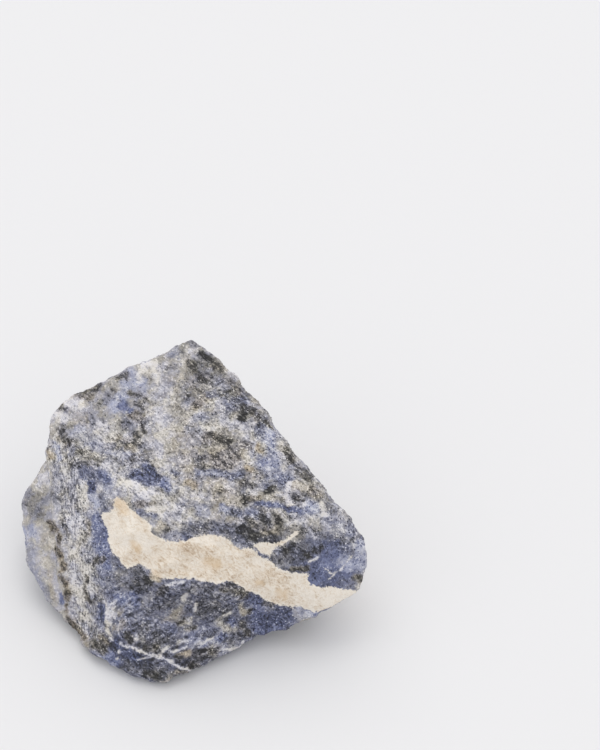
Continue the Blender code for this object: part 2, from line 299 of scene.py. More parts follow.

# The minerals, each with its values in the same order, and the patches where the seen side shows it: half
# width and line in pixels. Some dark patches are painted shade in part, as noted where they lie. They leave
# the strength of the grain as it is.
MINERALS = {
    "dull feldspar": ((0.47, 0.30, 0.08, 0.12, 0.05), [
        (6, [(64, 427), (72, 430)]), (2, [(72, 405), (80, 408), (90, 422)]), (5, [(84, 459), (99, 462)]),
        (5, [(106, 458), (124, 462)]), (7, [(133, 456), (148, 463)]), (6, [(146, 488), (154, 490)]),
        (7, [(178, 347), (196, 346)]), (4, [(181, 383), (184, 388)]), (4, [(198, 415), (203, 421)]),
        (3, [(188, 428), (190, 438)]), (4, [(243, 390), (249, 398)]), (5, [(284, 508), (290, 515)]),
        (4, [(322, 518), (324, 534)]), (5, [(352, 528), (358, 540)]), (9, [(32, 496), (36, 512)]),
        (5, [(50, 488), (44, 497)]), (3, [(47, 587), (50, 594)]), (5, [(98, 588), (103, 599)]),
        (5, [(92, 628), (96, 640)]), (6, [(121, 577), (127, 584)]), (4, [(142, 601), (145, 608)]),
        (4, [(265, 611), (272, 607)]), (6, [(163, 678), (170, 676)]), (7, [(212, 486), (258, 496)]),
        (6, [(262, 486), (300, 484)])
    ]),
    "tan feldspar": ((0.61, 0.16, 0.26, 0.00, 0.26), [
        (7, [(80, 418), (86, 421)]), (12, [(182, 442), (192, 460)]), (4, [(171, 377), (180, 377)]),
        (3, [(48, 470), (50, 478)]), (4, [(222, 377), (229, 382)]), (6, [(250, 452), (253, 460)]),
        (5, [(187, 466), (190, 475)]), (6, [(210, 484), (222, 482), (230, 490)]),
        (8, [(216, 499), (232, 502)]), (6, [(210, 514), (216, 520)]), (4, [(231, 521), (235, 526)]),
        (5, [(297, 486), (303, 489)]), (4, [(158, 527), (165, 524)]), (5, [(48, 538), (52, 546)]),
        (3, [(50, 575), (55, 600)]), (5, [(80, 633), (86, 643)]), (4, [(120, 613), (127, 607)]),
        (4, [(118, 628), (124, 623)]), (5, [(158, 627), (170, 619), (182, 611), (190, 605)]),
        (3, [(240, 606), (246, 614)]), (3, [(300, 624), (310, 620)]),
        (3, [(140, 682), (155, 686), (172, 682)])
    ]),
    "lilac grey": ((0.61, 0.14, 0.24, 0.42, 0.00), [
        (5, [(28, 545), (36, 580), (48, 600)]), (8, [(100, 445), (128, 452)]),
        (4, [(190, 405), (205, 418)]), (10, [(80, 435), (100, 440)]), (4, [(142, 384), (144, 390)]),
        (5, [(107, 487), (113, 490)]), (5, [(168, 491), (178, 490)]), (4, [(171, 354), (176, 354)]),
        (5, [(296, 609), (298, 620)]), (7, [(188, 508), (206, 512)]),
        (8, [(320, 520), (334, 526), (345, 534)]), (5, [(135, 592), (149, 598)]),
        (4, [(190, 645), (205, 646), (225, 644), (240, 640)]), (9, [(270, 436), (282, 464)])
    ]),
    "pale feldspar": ((0.65, 0.07, 0.48, 0.08, 0.06), [
        (3, [(128, 441)]), (5, [(108, 466), (120, 476)]), (3, [(96, 480), (98, 488)]),
        (7, [(184, 496), (200, 496)]), (5, [(162, 388), (170, 390), (171, 400), (163, 402)]),
        (4, [(187, 351), (194, 352)]), (5, [(178, 360), (184, 364)]), (6, [(194, 404), (200, 410)]),
        (3, [(198, 362), (206, 367)]), (6, [(214, 403), (224, 410)]),
        (7, [(212, 423), (222, 418), (236, 424), (250, 438)]), (4, [(234, 456), (239, 458)]),
        (3, [(281, 465), (294, 474), (308, 483)]), (4, [(279, 444), (282, 456)]),
        (3, [(249, 490), (255, 494), (262, 492)]), (7, [(285, 515), (297, 524)]),
        (6, [(308, 520), (320, 528)]), (5, [(168, 519), (180, 524)]), (6, [(66, 500), (70, 514)]),
        (6, [(78, 526), (82, 536)]), (6, [(72, 545), (78, 562)]), (5, [(82, 610), (90, 620)]),
        (4, [(183, 622), (188, 620)]), (3, [(136, 638), (140, 637)]), (4, [(361, 588), (363, 584)]),
        (4, [(228, 611), (218, 619), (224, 628), (236, 631)]), (9, [(100, 428), (110, 442)]),
        (6, [(153, 398), (160, 420), (162, 444), (163, 468)]), (8, [(124, 486), (142, 494), (164, 506)]),
        (5, [(82, 572), (92, 590)]), (4, [(112, 608), (110, 624)]),
        (5, [(141, 370), (158, 372), (157, 388)]), (5, [(244, 432), (254, 446), (250, 462)]),
        (6, [(160, 456), (167, 478)]), (5, [(205, 430), (219, 428)]),
        (7, [(248, 418), (258, 440), (262, 462)]), (5, [(170, 508), (192, 512)]),
        (5, [(277, 508), (297, 512)]), (6, [(78, 572), (82, 600)]), (7, [(38, 484), (52, 494)]),
        (7, [(88, 484), (102, 500)]), (6, [(152, 361), (165, 367)]), (4, [(226, 372), (237, 379)]),
        (1.5, [(250, 521), (256, 531), (268, 533)])
    ]),
    "pale sodalite": ((0.68, 0.10, 0.26, 0.80, 0.00), [
        (8, [(131, 375), (130, 388)]), (4, [(146, 366), (151, 365)]), (5, [(119, 395), (125, 396)]),
        (5, [(113, 403), (117, 410)]), (5, [(268, 432), (272, 446)]), (7, [(263, 463), (273, 464)]),
        (4, [(223, 507), (227, 510)]), (6, [(307, 508), (313, 510)]), (5, [(124, 379), (142, 381)]),
        (6, [(340, 560), (352, 566)]), (4, [(31, 528), (33, 534)]), (3, [(23, 530), (25, 545)]),
        (3, [(57, 444), (60, 458)]), (4, [(96, 652), (112, 664)]), (4, [(202, 643), (214, 645)]),
        (5, [(92, 492), (99, 504)]), (3, [(99, 526), (104, 548)]), (4, [(307, 612), (316, 614)]),
        (6, [(356, 545), (361, 566)])
    ]),
    "blue sodalite": ((0.44, 0.20, 0.08, 1.00, 0.00), [
        (5, [(122, 404), (124, 408)]), (5, [(101, 474), (106, 479)]), (5, [(157, 479), (167, 486)]),
        (3, [(258, 504), (278, 505), (300, 512)]), (2, [(61, 595), (62, 603)]),
        (8, [(98, 520), (101, 536), (104, 556)]), (4, [(103, 558), (109, 570)]),
        (5, [(84, 474), (90, 480)]), (4, [(118, 597), (124, 599)]), (5, [(132, 596), (137, 603)]),
        (6, [(108, 655), (118, 662)]), (6, [(326, 562), (333, 556)]), (7, [(319, 567), (314, 581)]),
        (3, [(317, 616), (320, 616)])
    ]),
    "rusty crust": ((0.58, 0.15, 0.20, 0.00, 0.80), [
        (4, [(189, 482), (194, 485)]), (3, [(258, 445), (260, 451)]), (3, [(247, 467), (251, 470)]),
        (3, [(49, 452), (51, 457)]), (3, [(59, 559)]), (3, [(66, 585)]), (4, [(151, 576), (158, 578)]),
        (4, [(183, 655), (188, 653)]), (5, [(119, 503), (124, 510)]), (4, [(134, 543), (138, 549)]),
        (3, [(257, 583), (261, 584)]), (4, [(280, 593), (284, 595)]), (6, [(210, 562), (216, 564)])
    ]),
    "brown grains": ((0.48, 0.46, 0.10, 0.00, 0.36), [
        (6, [(80, 394), (88, 395)]), (5, [(134, 416), (141, 418)]), (3, [(126, 445)]),
        (3, [(207, 373), (216, 371)]), (9, [(204, 384), (220, 388)]), (6, [(196, 405), (206, 398)]),
        (5, [(230, 385), (236, 392)]), (5, [(206, 439), (213, 432)]), (4, [(243, 446), (249, 446)]),
        (10, [(216, 454), (232, 456), (222, 465)]), (3, [(222, 490), (226, 491)]),
        (7, [(258, 533), (272, 533)]), (5, [(120, 440), (134, 447)]), (6, [(196, 382), (212, 378)]),
        (5, [(226, 388), (236, 396)]), (3, [(250, 498), (259, 499)]), (5, [(312, 491), (318, 494)]),
        (3, [(138, 504), (152, 504)]), (3, [(88, 521), (88, 534)]), (5, [(147, 638), (155, 640)]),
        (3, [(101, 636), (106, 643)]), (3, [(178, 673), (190, 675)])
    ]),
    "slate sodalite": ((0.45, 0.38, 0.06, 0.58, 0.00), [
        (6, [(83, 469), (92, 477)]), (7, [(133, 475), (150, 476)]), (3, [(172, 472), (176, 474)]),
        (5, [(211, 394), (219, 393)]), (7, [(230, 404), (243, 401)]),
        (4, [(261, 424), (259, 433), (262, 438)]), (4, [(268, 475), (290, 479)]),
        (5, [(268, 487), (284, 483)]), (4, [(198, 471), (217, 473), (240, 476)]),
        (4, [(233, 511), (238, 514)]), (6, [(250, 514), (256, 516)]), (3, [(138, 511), (154, 517)]),
        (4, [(184, 536), (188, 539)]), (4, [(103, 497), (106, 509)]), (5, [(102, 571), (108, 581)]),
        (3, [(111, 573), (112, 584)]), (4, [(113, 558), (118, 565)]), (6, [(128, 610), (134, 618)]),
        (9, [(143, 618), (152, 625)]), (5, [(158, 632), (168, 626)]), (5, [(186, 584), (200, 590)]),
        (4, [(229, 609), (234, 605)]), (5, [(204, 631), (214, 632)]), (3, [(258, 553), (270, 557)]),
        (5, [(311, 546), (318, 542)]), (6, [(338, 545), (344, 550)]), (5, [(342, 582), (350, 587)]),
        (5, [(129, 660), (138, 662)])
    ]),
    "dark slate and painted shade": ((0.35, 0.42, 0.04, 0.38, 0.02), [
        # On this line and the next, the patches along the top of the vein lie in the ledge and the hollow
        # there: dark slate in part and painted shade in part.
        (6, [(188, 529), (210, 526), (232, 531)]), (9, [(238, 533), (254, 539)]),
        (5, [(262, 540), (278, 541)]), (8, [(282, 555), (298, 556), (304, 550)]),
        # The first patch on this line darkens the toe: dark slate in part and painted shade in part.
        (9, [(130, 666), (142, 670), (160, 670)]), (7, [(186, 586), (202, 590), (214, 600)]),
        (5, [(232, 398), (240, 406)]), (8, [(190, 606), (224, 608)]), (6, [(160, 604), (172, 600)]),
        # The first patch on this line darkens the lower right edge where it turns under: dark slate in part
        # and painted shade in part.
        (6, [(225, 640), (262, 632)]), (7, [(138, 568), (142, 577)]), (5, [(133, 585), (142, 590)]),
        (7, [(138, 628), (150, 636), (166, 638)])
    ]),
    "deep blue sodalite and painted shade": ((0.35, 0.38, 0.04, 0.95, 0.00), [
        (3, [(127, 407), (131, 410)]), (4, [(88, 484), (93, 488)]), (3, [(102, 522), (105, 530)]),
        (4, [(101, 609), (103, 618)]), (5, [(245, 597), (257, 602)]),
        # On this line and the next, the patches from 275 to 282 across at 625 down and from 258 to 266
        # across at 630 down darken the lower right edge where it turns under: deep blue sodalite in part and
        # painted shade in part.
        (9, [(258, 616), (272, 624), (284, 616)]), (5, [(275, 625), (282, 624)]),
        (6, [(258, 630), (266, 629)]), (3, [(231, 621), (234, 625)]), (3, [(219, 638), (225, 636)]),
        (5, [(117, 640), (120, 648)]), (5, [(128, 655), (140, 657)]), (5, [(316, 562), (315, 576)]),
        (4, [(328, 552), (334, 545)]), (4, [(136, 474), (148, 480), (158, 478)]),
        (3, [(150, 470), (160, 479)]), (4, [(146, 466), (152, 475)])
    ]),
    "dark speckle": ((0.49, 0.42, 0.08, 0.12, 0.06), [
        (3, [(89, 420), (92, 423)]), (4, [(107, 398), (101, 404)]), (4, [(119, 423), (124, 428)]),
        (4, [(115, 447), (121, 444)]), (5, [(141, 446), (148, 452)]), (3, [(167, 369), (171, 366)]),
        (4, [(186, 393), (189, 399)]), (3, [(22, 505), (27, 502)]), (4, [(53, 495), (57, 500)]),
        (4, [(74, 498), (78, 510)]), (8, [(198, 368), (218, 378)]), (7, [(72, 446), (76, 462)]),
        (7, [(200, 382), (230, 392)]), (6, [(302, 532), (322, 534)]), (3, [(124, 420), (131, 425)])
    ]),
    "olive seam and crevice shade": ((0.42, 0.52, 0.08, 0.00, 0.60), [
        # Painted shade: the dark olive line between the lobe and the bevel band is an olive stain in part
        # and the shade of the crevice between them in part.
        (3.4, [(50, 523), (55, 530)]), (2.2, [(58, 536), (60, 543)]), (3.0, [(57, 549), (60, 555)]),
        (2.4, [(62, 563), (64, 571)]), (2.8, [(62, 578), (66, 585)]), (3.4, [(67, 592), (67, 598)]),
        (2.0, [(66, 605), (67, 611)]), (3.4, [(68, 618), (74, 626)]), (3.0, [(78, 631), (84, 637)])
    ]),
    "dark grains": ((0.42, 0.58, 0.06, 0.06, 0.18), [
        (4, [(88, 389), (94, 389)]), (5, [(57, 406), (65, 408)]), (5, [(80, 390), (98, 386)]),
        (3, [(114, 390)]), (4, [(119, 377), (125, 375)]), (3, [(129, 393), (140, 395)]),
        (3, [(145, 400)]), (3, [(137, 403), (143, 409)]), (3, [(142, 424), (145, 431)]),
        (4, [(135, 436), (137, 441)]), (3, [(81, 452)]), (4, [(62, 434), (68, 442)]), (3, [(132, 458)]),
        (4, [(213, 364), (220, 368)]), (3, [(189, 361), (193, 366)]),
        (4, [(193, 371), (200, 377), (207, 377)]), (4, [(250, 407), (258, 419)]),
        (3, [(267, 421), (271, 426)]), (5, [(220, 439), (229, 442)]), (4, [(196, 459), (199, 465)]),
        (3, [(204, 458)]), (3, [(203, 466)]), (4, [(287, 449), (291, 461)]),
        (4, [(299, 469), (308, 477)]), (5, [(244, 482), (249, 484)]), (3, [(266, 492), (274, 488)]),
        (3, [(256, 486)]), (4, [(243, 498), (246, 503)]), (4, [(246, 518), (254, 523)]),
        (4, [(294, 496), (297, 499)]), (3, [(303, 499)]), (3.5, [(276, 519), (280, 524)]),
        (3, [(164, 532), (170, 529)]), (3, [(63, 522), (66, 528)]),
        (2, [(87, 578), (86, 592), (89, 602), (94, 602)]), (4, [(97, 560), (102, 560)]),
        (4, [(161, 593), (165, 589)]), (3, [(188, 629), (194, 627)]), (1.6, [(176, 625), (186, 618)]),
        (4, [(148, 648), (156, 648)]), (4, [(128, 635), (131, 640)]), (5, [(224, 588), (231, 587)]),
        (6, [(237, 592), (243, 594)]), (3, [(266, 603), (271, 605)]), (3, [(249, 611)]),
        (3.5, [(243, 624), (247, 633)]), (5, [(97, 645), (103, 651)]), (4, [(150, 674), (160, 677)]),
        (6, [(199, 656), (214, 650)]), (3, [(177, 657), (181, 658)]), (5, [(192, 665), (199, 669)]),
        (3, [(291, 569), (306, 568)]), (4, [(356, 578), (362, 580)])
    ]),
    "near-black grains": ((0.29, 0.66, 0.00, 0.12, 0.00), [
        (4, [(202, 356), (209, 359)]), (4, [(244, 408), (242, 419)]), (3, [(268, 491), (271, 489)]),
        # On this line and the next two, the grains along the top of the vein and in the hollow at its right
        # end are dark grains in part and the painted shade of that ledge and hollow in part.
        (4, [(262, 517), (268, 524)]), (6, [(243, 530), (253, 536)]), (4, [(146, 579), (149, 583)]),
        (4, [(154, 675), (158, 678)]), (4, [(288, 549), (293, 545)]), (4, [(303, 555), (307, 557)]),
        (3, [(314, 550), (317, 552)]), (3, [(322, 547)])
    ]),
    "white feldspar": ((0.72, 0.00, 0.64, 0.06, 0.05), [
        (4.5, [(57, 416), (64, 418)]), (5, [(68, 402), (80, 405)]), (2, [(148, 426)]),
        (3, [(206, 428), (218, 430)]), (1.2, [(222, 616), (230, 612)]),
        (4, [(142, 368), (156, 362), (156, 378)]), (3, [(139, 375), (141, 381)]),
        (3, [(179, 643), (186, 641)]), (3, [(49, 538), (52, 545)]),
        (2.5, [(122, 481), (136, 488), (152, 500)]), (2.5, [(132, 481), (150, 492), (166, 500)]),
        (3, [(148, 508), (168, 506), (182, 510)]), (5, [(44, 474), (45, 483)]),
        (3, [(84, 484), (87, 505)]), (3.5, [(70, 574), (82, 598)]), (2, [(105, 600), (108, 624)]),
        (2, [(106, 629), (111, 638)]), (3, [(290, 484), (286, 494), (290, 503)]), (3, [(303, 505)]),
        (2.5, [(322, 503), (324, 515)]), (2, [(196, 605), (194, 611)]), (2, [(187, 596), (183, 600)]),
        (2, [(191, 619)]), (2, [(119, 652)]), (2, [(117, 659)])
    ]),
    "healed cracks": ((0.68, 0.00, 0.72, 0.20, 0.03), [
        (1.5, [(303, 520), (309, 531), (316, 537)]), (1.5, [(167, 587), (174, 582), (184, 582)]),
        (1.5, [(196, 645), (214, 637)]), (1.2, [(222, 650), (238, 647), (243, 642)]),
        (1.2, [(262, 637), (277, 633)]), (1.5, [(121, 644), (132, 647), (148, 654)]),
        (2.2, [(151, 655), (160, 657)]), (1.6, [(162, 659), (171, 662), (181, 667), (194, 673)]),
        (1.0, [(136, 660), (150, 656)]), (1.3, [(160, 653), (170, 645)]), (1.0, [(168, 653), (186, 647)]),
        (1.2, [(309, 563), (318, 557)]), (0.8, [(326, 568), (334, 574)]), (0.8, [(328, 580), (350, 559)])
    ]),
}

seen_torn = seen + 1.4 * ragged
seen_torn += 0.9 * np.stack([lumps(points, 0.6, seed=41), lumps(points, 0.6, seed=42)], axis=1)


def cover_of(half_width, path, full, none):
    """How far a patch covers each point: wholly out to full times its half width from its line, and not
    at all past none times that, with a torn edge between them."""
    return 1 - smooth_step(full, none, distance_to_line(seen_torn, path) / half_width)


def lay_on(ground, values, cover):
    """Blends a mineral's values into the ground, as far as it covers each point."""
    for name, value in zip(ground, values):
        ground[name] += cover * (value - ground[name])


FACE_EDGE = (0.5, 1.5)
PATCH_EDGE = (0.4, 1.6)
for face_values, half_width, path in FACES.values():
    lay_on(outer, face_values, cover_of(half_width, path, *FACE_EDGE))
for mineral_values, patches in MINERALS.values():
    for half_width, path in patches:
        lay_on(outer, mineral_values, cover_of(half_width, path, *PATCH_EDGE))
outer["tone"] += 0.03 * lumps(points, 2.4, seed=21)
outer["blue"] += 0.08 * lumps(points, 2.6, seed=23)
outer["ochre"] += 0.06 * lumps(points, 2.0, seed=24)

# On the sides that the photograph leaves out the same minerals lie in streaky patches through the rock.
STREAKY = (1.6, 1.0, 0.8)
streaks = lumps(bedding, 3.5, 12, (1.8, 1.0, 0.7))
inner = {
    "tone": 0.50 + 0.12 * lumps(bedding, 9, 11, STREAKY),
    "dark": 0.30 + 0.30 * lumps(bedding, 9, 17, STREAKY) + 0.35 * streaks,
    "pale": 0.15 + 0.30 * lumps(bedding, 7, 18, STREAKY) - 0.35 * streaks,
    "blue": 0.42 + 0.55 * lumps(bedding, 10, 13, (1.5, 1.0, 0.8)) + 0.2 * lumps(points, 4, seed=14),
    "ochre": 0.05 + 0.35 * lumps(bedding, 8, seed=15) + 0.2 * lumps(points, 3, seed=16),
    "grain": np.full(len(points), 1.1),
}
layers = {name: outer[name] * facing + inner[name] * (1 - facing) for name in GROUND}

# The milky parts of the vein: half width and line in pixels.
MILKY = [
    (10, [(108, 520), (122, 545)]), (6, [(128, 518), (146, 545)]), (9, [(312, 598), (350, 596)]),
    (5, [(196, 541), (222, 541)]), (3, [(255, 560), (270, 566)]), (4, [(262, 547), (270, 550)]),
]
milky = np.zeros(len(points))
for half_width, path in MILKY:
    milky = np.maximum(milky, cover_of(half_width, path, *PATCH_EDGE))
layers["milky"] = milky * facing
layers["vein"] = vein

# Where the rock is crushed, flaky or combed: the line, and how many pixels from it that holds and ends.
LINED_PARTS = {
    "bevel": ([(60, 450), (73, 500), (82, 560), (90, 625)], 10, 18),
    "flaky": ([(125, 600), (160, 640), (200, 640), (225, 610), (200, 600)], 18, 34),
    "combed": ([(92, 436), (125, 462), (160, 498)], 14, 30),
}
for name, (path, full, none) in LINED_PARTS.items():
    layers[name] = cover_of(1, path, full, none) * facing
layers["drawn"] = facing
for name, values in layers.items():
    layer = stone_mesh.attributes.new(name, "FLOAT", "POINT")
    layer.data.foreach_set("value", values.astype(np.float32))
for face in stone_mesh.polygons:
    face.use_smooth = True


def linear(hex_colour):
    """An sRGB hex colour as the linear colour that Blender's shaders take."""
    parts = [int(hex_colour[i:i + 2], 16) / 255 for i in (1, 3, 5)]
    return [c / 12.92 if c <= 0.04045 else ((c + 0.055) / 1.055) ** 2.4 for c in parts] + [1.0]


def add_node(tree, kind, settings=None, inputs=None, stops=()):
    """Adds a node with its settings; an input is a value, or the socket that it is linked from.
    The stops of a colour ramp are places from 0 to 1 with their sRGB hex colours."""
    node = tree.nodes.new(kind)
    for key, value in (settings or {}).items():
        setattr(node, key, value)
    for key, value in (inputs or {}).items():
        if isinstance(value, bpy.types.NodeSocket):
            tree.links.new(value, node.inputs[key])
        else:
            node.inputs[key].default_value = value
    for at, (place, hex_colour) in enumerate(stops):
        if at >= len(node.color_ramp.elements):
            node.color_ramp.elements.new(place)
        node.color_ramp.elements[at].position = place
        node.color_ramp.elements[at].color = linear(hex_colour)
    return node


# Broken sodalite rock: glassy grains that don't lie level, so the face looks matt and sugary from afar
# and has a dull gleam near by. Sodalite's IOR is 1.48 and the broken face is rough.
rock = bpy.data.materials.new("broken_sodalite_rock")
rock.use_nodes = True
tree = rock.node_tree
tree.nodes.clear()

# The stone's own coordinates in millimetres, and the layers that the mesh holds.
place = add_node(tree, "ShaderNodeTexCoord")
mm = add_node(tree, "ShaderNodeVectorMath", {"operation": "SCALE"},
              {0: place.outputs["Object"], "Scale": 1000.0}).outputs[0]
layer_at = {}
for name in layers:
    layer_at[name] = add_node(tree, "ShaderNodeAttribute", {"attribute_name": name}).outputs["Fac"]

# Grains of two sizes, each grain with a tone of its own, and a finer dust over them. How strong each is
# comes after its size.
COARSE_GRAIN_MM = 0.95
COARSE_GRAIN_TONE = 0.10
FINE_GRAIN_MM = 0.48
FINE_GRAIN_TONE = 0.20
DUST_MM = 0.5
DUST_TONE = 0.60
coarse = add_node(tree, "ShaderNodeTexVoronoi", {"feature": "F1"},
                  {"Vector": mm, "Scale": 1 / COARSE_GRAIN_MM})
fine = add_node(tree, "ShaderNodeTexVoronoi", {"feature": "F1"},
                {"Vector": mm, "Scale": 1 / FINE_GRAIN_MM})
dust = add_node(tree, "ShaderNodeTexNoise", None,
                {"Vector": mm, "Scale": 1 / DUST_MM, "Detail": 3.0, "Roughness": 0.7})
coarse_tone = add_node(tree, "ShaderNodeSeparateColor", None, {"Color": coarse.outputs["Color"]})
fine_tone = add_node(tree, "ShaderNodeSeparateColor", None, {"Color": fine.outputs["Color"]})
coarse_added = add_node(tree, "ShaderNodeMath", {"operation": "MULTIPLY_ADD"},
                        {0: coarse_tone.outputs["Red"], 1: COARSE_GRAIN_TONE, 2: -COARSE_GRAIN_TONE / 2})
fine_added = add_node(tree, "ShaderNodeMath", {"operation": "MULTIPLY_ADD"},
                      {0: fine_tone.outputs["Red"], 1: FINE_GRAIN_TONE, 2: coarse_added.outputs[0]})
dust_added = add_node(tree, "ShaderNodeMath", {"operation": "MULTIPLY_ADD"},
                      {0: dust.outputs["Fac"], 1: DUST_TONE, 2: fine_added.outputs[0]})
grain_mix = add_node(tree, "ShaderNodeMath", {"operation": "SUBTRACT"},
                     {0: dust_added.outputs[0], 1: (FINE_GRAIN_TONE + DUST_TONE) / 2})

# Painted glints: bright specks about 0.35 mm wide on one grain in ten stand for crystal faces that catch the
# light, and dark gaps on one grain in eight are dark grains in part and painted shade between the grains in
# part.
GLINT_MM = 0.42
GLINT_AND_GAP_TONE = 0.46
GLINT_SHARE = 0.10
SHADED_GAP_SHARE = 0.12
glint_cells = add_node(tree, "ShaderNodeTexVoronoi", {"feature": "F1"}, {"Vector": mm, "Scale": 1 / GLINT_MM})
glint_pick = add_node(tree, "ShaderNodeSeparateColor", None, {"Color": glint_cells.outputs["Color"]})
glint_near = add_node(tree, "ShaderNodeMapRange", {"interpolation_type": "SMOOTHSTEP"},
                      {"Value": glint_cells.outputs["Distance"], "From Min": 0.55, "From Max": 0.20})
glint_on = add_node(tree, "ShaderNodeMath", {"operation": "GREATER_THAN"},
                    {0: glint_pick.outputs["Red"], 1: 1 - GLINT_SHARE})
shaded_gap_on = add_node(tree, "ShaderNodeMath", {"operation": "LESS_THAN"},
                  {0: glint_pick.outputs["Red"], 1: SHADED_GAP_SHARE})
glint_minus_gap = add_node(tree, "ShaderNodeMath", {"operation": "SUBTRACT"},
                      {0: glint_on.outputs[0], 1: shaded_gap_on.outputs[0]})
painted_glint_and_gap_shade = add_node(tree, "ShaderNodeMath", {"operation": "MULTIPLY"},
                      {0: glint_near.outputs[0], 1: glint_minus_gap.outputs[0]})

# Marbling: pale and dark minerals lie in torn patches, drawn out to about 6 mm along the bedding.
MARBLE_MM = 3.4
bedding_turn = add_node(tree, "ShaderNodeMapping", {"vector_type": "TEXTURE"},
                        {"Vector": mm, "Rotation": (0.0, 0.24, -0.62), "Scale": (1.9, 0.9, 0.9)})
marble = add_node(tree, "ShaderNodeTexNoise", None,
                  {"Vector": bedding_turn.outputs[0], "Scale": 1 / MARBLE_MM, "Detail": 6.0,
                   "Roughness": 0.62, "Distortion": 0.9})
marble_tone = add_node(tree, "ShaderNodeMapRange", {"interpolation_type": "SMOOTHSTEP"},
                       {"Value": marble.outputs["Fac"], "From Min": 0.38, "From Max": 0.62,
                        "To Min": -0.15, "To Max": 0.13})

# Near-black grains 1 to 2 mm wide come in clusters, and pale chips lie between them.
ISLAND_MM = 1.5
CLUSTER_MM = 7.0
island = add_node(tree, "ShaderNodeTexNoise", None,
                  {"Vector": mm, "Scale": 1 / ISLAND_MM, "Detail": 4.0, "Roughness": 0.6, "Distortion": 0.5})
cluster = add_node(tree, "ShaderNodeTexNoise", None, {"Vector": mm, "Scale": 1 / CLUSTER_MM, "Detail": 2.0})
cluster_on = add_node(tree, "ShaderNodeMapRange", {"interpolation_type": "SMOOTHSTEP"},
                      {"Value": cluster.outputs["Fac"], "From Min": 0.42, "From Max": 0.60,
                       "To Min": 0.25, "To Max": 1.0})
island_dark = add_node(tree, "ShaderNodeMapRange", {"interpolation_type": "SMOOTHSTEP"},
                       {"Value": island.outputs["Fac"], "From Min": 0.42, "From Max": 0.33,
                        "To Min": 0.0, "To Max": -0.34})
island_tone = add_node(tree, "ShaderNodeMath", {"operation": "MULTIPLY"},
                       {0: island_dark.outputs[0], 1: cluster_on.outputs[0]})
chip_tone = add_node(tree, "ShaderNodeMapRange", {"interpolation_type": "SMOOTHSTEP"},
                     {"Value": island.outputs["Fac"], "From Min": 0.60, "From Max": 0.68,
                      "To Min": 0.0, "To Max": 0.16})

# Lace: thin pale healed cracks, 0.2 mm wide, that run and fork along the bedding of the rock.
LACE_MM = 2.3
LACE_TONE = 0.19
lace_field = add_node(tree, "ShaderNodeTexNoise", None,
                      {"Vector": bedding_turn.outputs[0], "Scale": 1 / LACE_MM, "Detail": 3.0,
                       "Roughness": 0.6, "Distortion": 0.5})
lace_off = add_node(tree, "ShaderNodeMath", {"operation": "SUBTRACT"},
                    {0: lace_field.outputs["Fac"], 1: 0.5})
lace_near = add_node(tree, "ShaderNodeMath", {"operation": "ABSOLUTE"}, {0: lace_off.outputs[0]})
lace = add_node(tree, "ShaderNodeMapRange", {"interpolation_type": "SMOOTHSTEP"},
                {"Value": lace_near.outputs[0], "From Min": 0.030, "From Max": 0.004})

# In the lined parts the grains are drawn out: upright on the crushed band beside the ridge, rising to the
# right on the flaky lower front, and running down to the right on the combed middle of the top. Each has
# the width of its lines in millimetres, their length in widths, how they lie and how strong they are, and
# then the detail and the roughness of the noise.
LINES = {
    "bevel": (0.45, 4.5, (0.0, 0.91, -1.37), 0.28, 3.0, 0.65),
    "flaky": (0.90, 4.5, (0.0, -0.50, 0.34), 0.26, 4.0, 0.65),
    "combed": (0.50, 4.0, (0.0, 0.29, -0.85), 0.24, 3.0, 0.60),
}
lines_tone = 0.0
for name, (width, length, turn, strength, detail, roughness) in LINES.items():
    line_turn = add_node(tree, "ShaderNodeMapping", {"vector_type": "TEXTURE"},
                         {"Vector": mm, "Rotation": turn, "Scale": (length, 1.0, 1.0)})
    line = add_node(tree, "ShaderNodeTexNoise", None,
                    {"Vector": line_turn.outputs[0], "Scale": 1 / width, "Detail": detail,
                     "Roughness": roughness})
    line_tone = add_node(tree, "ShaderNodeMapRange", None,
                         {"Value": line.outputs["Fac"], "From Min": 0.3, "From Max": 0.7,
                          "To Min": -strength, "To Max": strength})
    lines_tone = add_node(tree, "ShaderNodeMath", {"operation": "MULTIPLY_ADD"},
                          {0: line_tone.outputs[0], 1: layer_at[name], 2: lines_tone}).outputs[0]

# Where the large markings are drawn already, the wild marbling only loosens them, with about half its
# strength.
LOOSE_DRAWN = 0.55
loose = add_node(tree, "ShaderNodeMath", {"operation": "MULTIPLY_ADD"},
                 {0: layer_at["drawn"], 1: LOOSE_DRAWN - 1, 2: 1.0})
wild = marble_tone.outputs[0]
for part in (island_tone.outputs[0], chip_tone.outputs[0]):
    wild = add_node(tree, "ShaderNodeMath", {"operation": "ADD"}, {0: wild, 1: part}).outputs[0]
loosened = add_node(tree, "ShaderNodeMath", {"operation": "MULTIPLY_ADD"},
                    {0: wild, 1: loose.outputs[0], 2: grain_mix.outputs[0]})
pattern = add_node(tree, "ShaderNodeMath", {"operation": "ADD"}, {0: loosened.outputs[0], 1: lines_tone})
specks = add_node(tree, "ShaderNodeMath", {"operation": "MULTIPLY_ADD"},
                  {0: painted_glint_and_gap_shade.outputs[0], 1: GLINT_AND_GAP_TONE, 2: pattern.outputs[0]})
laced = add_node(tree, "ShaderNodeMath", {"operation": "MULTIPLY_ADD"},
                 {0: lace.outputs[0], 1: LACE_TONE, 2: specks.outputs[0]})
grain_tone = add_node(tree, "ShaderNodeMath", {"operation": "MULTIPLY"},
                      {0: laced.outputs[0], 1: layer_at["grain"]})

